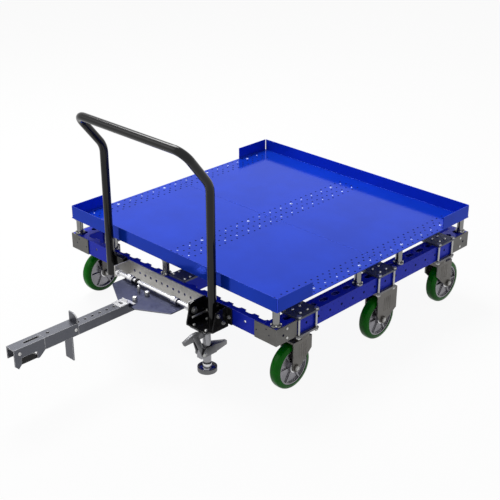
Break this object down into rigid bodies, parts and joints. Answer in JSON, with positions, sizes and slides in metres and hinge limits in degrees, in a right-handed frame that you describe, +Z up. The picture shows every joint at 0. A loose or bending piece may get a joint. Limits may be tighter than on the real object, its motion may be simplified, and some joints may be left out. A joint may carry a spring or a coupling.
{
  "type": "material handling cart",
  "caption": "Square tugger cart with a lipped deck on a perforated beam frame, swivel and fixed casters, a push handle, a hinged tow bar and a floor lock.",
  "frame": {"origin": "on the floor, under the middle of the whole length with the tow bar level", "axes": "X across the cart, the tow bar points along -Y, Z up"},
  "size_m": [1.2816, 2.01, 0.9934],
  "materials": {
    "blue_frame": "satin blue paint",
    "blue_deck": "glossy blue paint",
    "galvanised": "galvanised sheet",
    "dark_plate": "dark phosphated plate",
    "blue_grey_plate": "dull zinc plate",
    "bright_steel": "bright zinc steel",
    "black_paint": "satin black paint",
    "grey_steel": "grey zinc steel",
    "black_latch": "matt black steel",
    "lock_zinc": "zinc plated steel",
    "fork_zinc": "zinc plated pressed steel",
    "green_tread": "green polyurethane",
    "hub_grey": "grey cast wheel centre"
  },
  "bodies": {
    "chassis": {"left_beam": "blue_frame", "right_beam": "blue_frame", "centre_beam": "blue_frame", "front_beam": "blue_frame", "rear_beam": "blue_frame", "deck_front": "blue_deck", "deck_rear": "blue_deck", "corner_brackets": "galvanised", "hinge_bracket": "galvanised", "joint_plates": "dark_plate", "caster_top_plates": "dark_plate", "hinge_shaft": "bright_steel", "handle": "black_paint", "handle_bracket_left": "black_paint", "handle_bracket_right": "black_paint", "lock_housing": "lock_zinc", "lock_pedal_front": "lock_zinc", "lock_pedal_rear": "lock_zinc", "clamp_bolts": "lock_zinc", "deck_posts": "lock_zinc", "caster_base_plates": "lock_zinc", "fixed_fork_middle_left": "fork_zinc", "fixed_fork_middle_right": "fork_zinc", "axle_middle_left": "bright_steel", "axle_middle_right": "bright_steel"},
    "swivel_front_left": {"swivel_fork_front_left": "fork_zinc", "axle_front_left": "bright_steel"},
    "swivel_front_right": {"swivel_fork_front_right": "fork_zinc", "axle_front_right": "bright_steel"},
    "swivel_rear_left": {"swivel_fork_rear_left": "fork_zinc", "axle_rear_left": "bright_steel"},
    "swivel_rear_right": {"swivel_fork_rear_right": "fork_zinc", "axle_rear_right": "bright_steel"},
    "wheel_front_left": {"tyre_front_left": "green_tread", "hub_front_left": "hub_grey"},
    "wheel_front_right": {"tyre_front_right": "green_tread", "hub_front_right": "hub_grey"},
    "wheel_rear_left": {"tyre_rear_left": "green_tread", "hub_rear_left": "hub_grey"},
    "wheel_rear_right": {"tyre_rear_right": "green_tread", "hub_rear_right": "hub_grey"},
    "wheel_middle_left": {"tyre_middle_left": "green_tread", "hub_middle_left": "hub_grey"},
    "wheel_middle_right": {"tyre_middle_right": "green_tread", "hub_middle_right": "hub_grey"},
    "tow_bar": {"tow_plate": "blue_grey_plate", "tow_tube": "grey_steel", "tow_strap": "bright_steel", "coupling_tube": "grey_steel", "coupling_head": "grey_steel", "coupling_latch": "black_latch", "tow_lever": "grey_steel"},
    "lock_foot": {"lock_foot": "dark_plate"}
  },
  "joints": [
    {"name": "swivel_front_left", "type": "hinge", "parent": "chassis", "child": "swivel_front_left", "pos_m": [-0.59, -0.08, 0.22], "axis": [0, 0, 1], "continuous": true},
    {"name": "swivel_front_right", "type": "hinge", "parent": "chassis", "child": "swivel_front_right", "pos_m": [0.59, -0.08, 0.22], "axis": [0, 0, 1], "continuous": true},
    {"name": "swivel_rear_left", "type": "hinge", "parent": "chassis", "child": "swivel_rear_left", "pos_m": [-0.59, 0.83, 0.22], "axis": [0, 0, 1], "continuous": true},
    {"name": "swivel_rear_right", "type": "hinge", "parent": "chassis", "child": "swivel_rear_right", "pos_m": [0.59, 0.83, 0.22], "axis": [0, 0, 1], "continuous": true},
    {"name": "roll_front_left", "type": "hinge", "parent": "swivel_front_left", "child": "wheel_front_left", "pos_m": [-0.59, -0.134, 0.098], "axis": [1, 0, 0], "continuous": true},
    {"name": "roll_front_right", "type": "hinge", "parent": "swivel_front_right", "child": "wheel_front_right", "pos_m": [0.59, -0.134, 0.098], "axis": [1, 0, 0], "continuous": true},
    {"name": "roll_rear_left", "type": "hinge", "parent": "swivel_rear_left", "child": "wheel_rear_left", "pos_m": [-0.59, 0.884, 0.098], "axis": [1, 0, 0], "continuous": true},
    {"name": "roll_rear_right", "type": "hinge", "parent": "swivel_rear_right", "child": "wheel_rear_right", "pos_m": [0.59, 0.884, 0.098], "axis": [1, 0, 0], "continuous": true},
    {"name": "roll_middle_left", "type": "hinge", "parent": "chassis", "child": "wheel_middle_left", "pos_m": [-0.59, 0.41, 0.098], "axis": [1, 0, 0], "continuous": true},
    {"name": "roll_middle_right", "type": "hinge", "parent": "chassis", "child": "wheel_middle_right", "pos_m": [0.59, 0.41, 0.098], "axis": [1, 0, 0], "continuous": true},
    {"name": "tow_bar_lift", "type": "hinge", "parent": "chassis", "child": "tow_bar", "pos_m": [0, -0.319, 0.282], "axis": [-1, 0, 0], "range_deg": [0, 78]},
    {"name": "lock_foot_drop", "type": "slide", "parent": "chassis", "child": "lock_foot", "axis": [0, 0, -1], "range_m": [0, 0.027]}
  ]
}
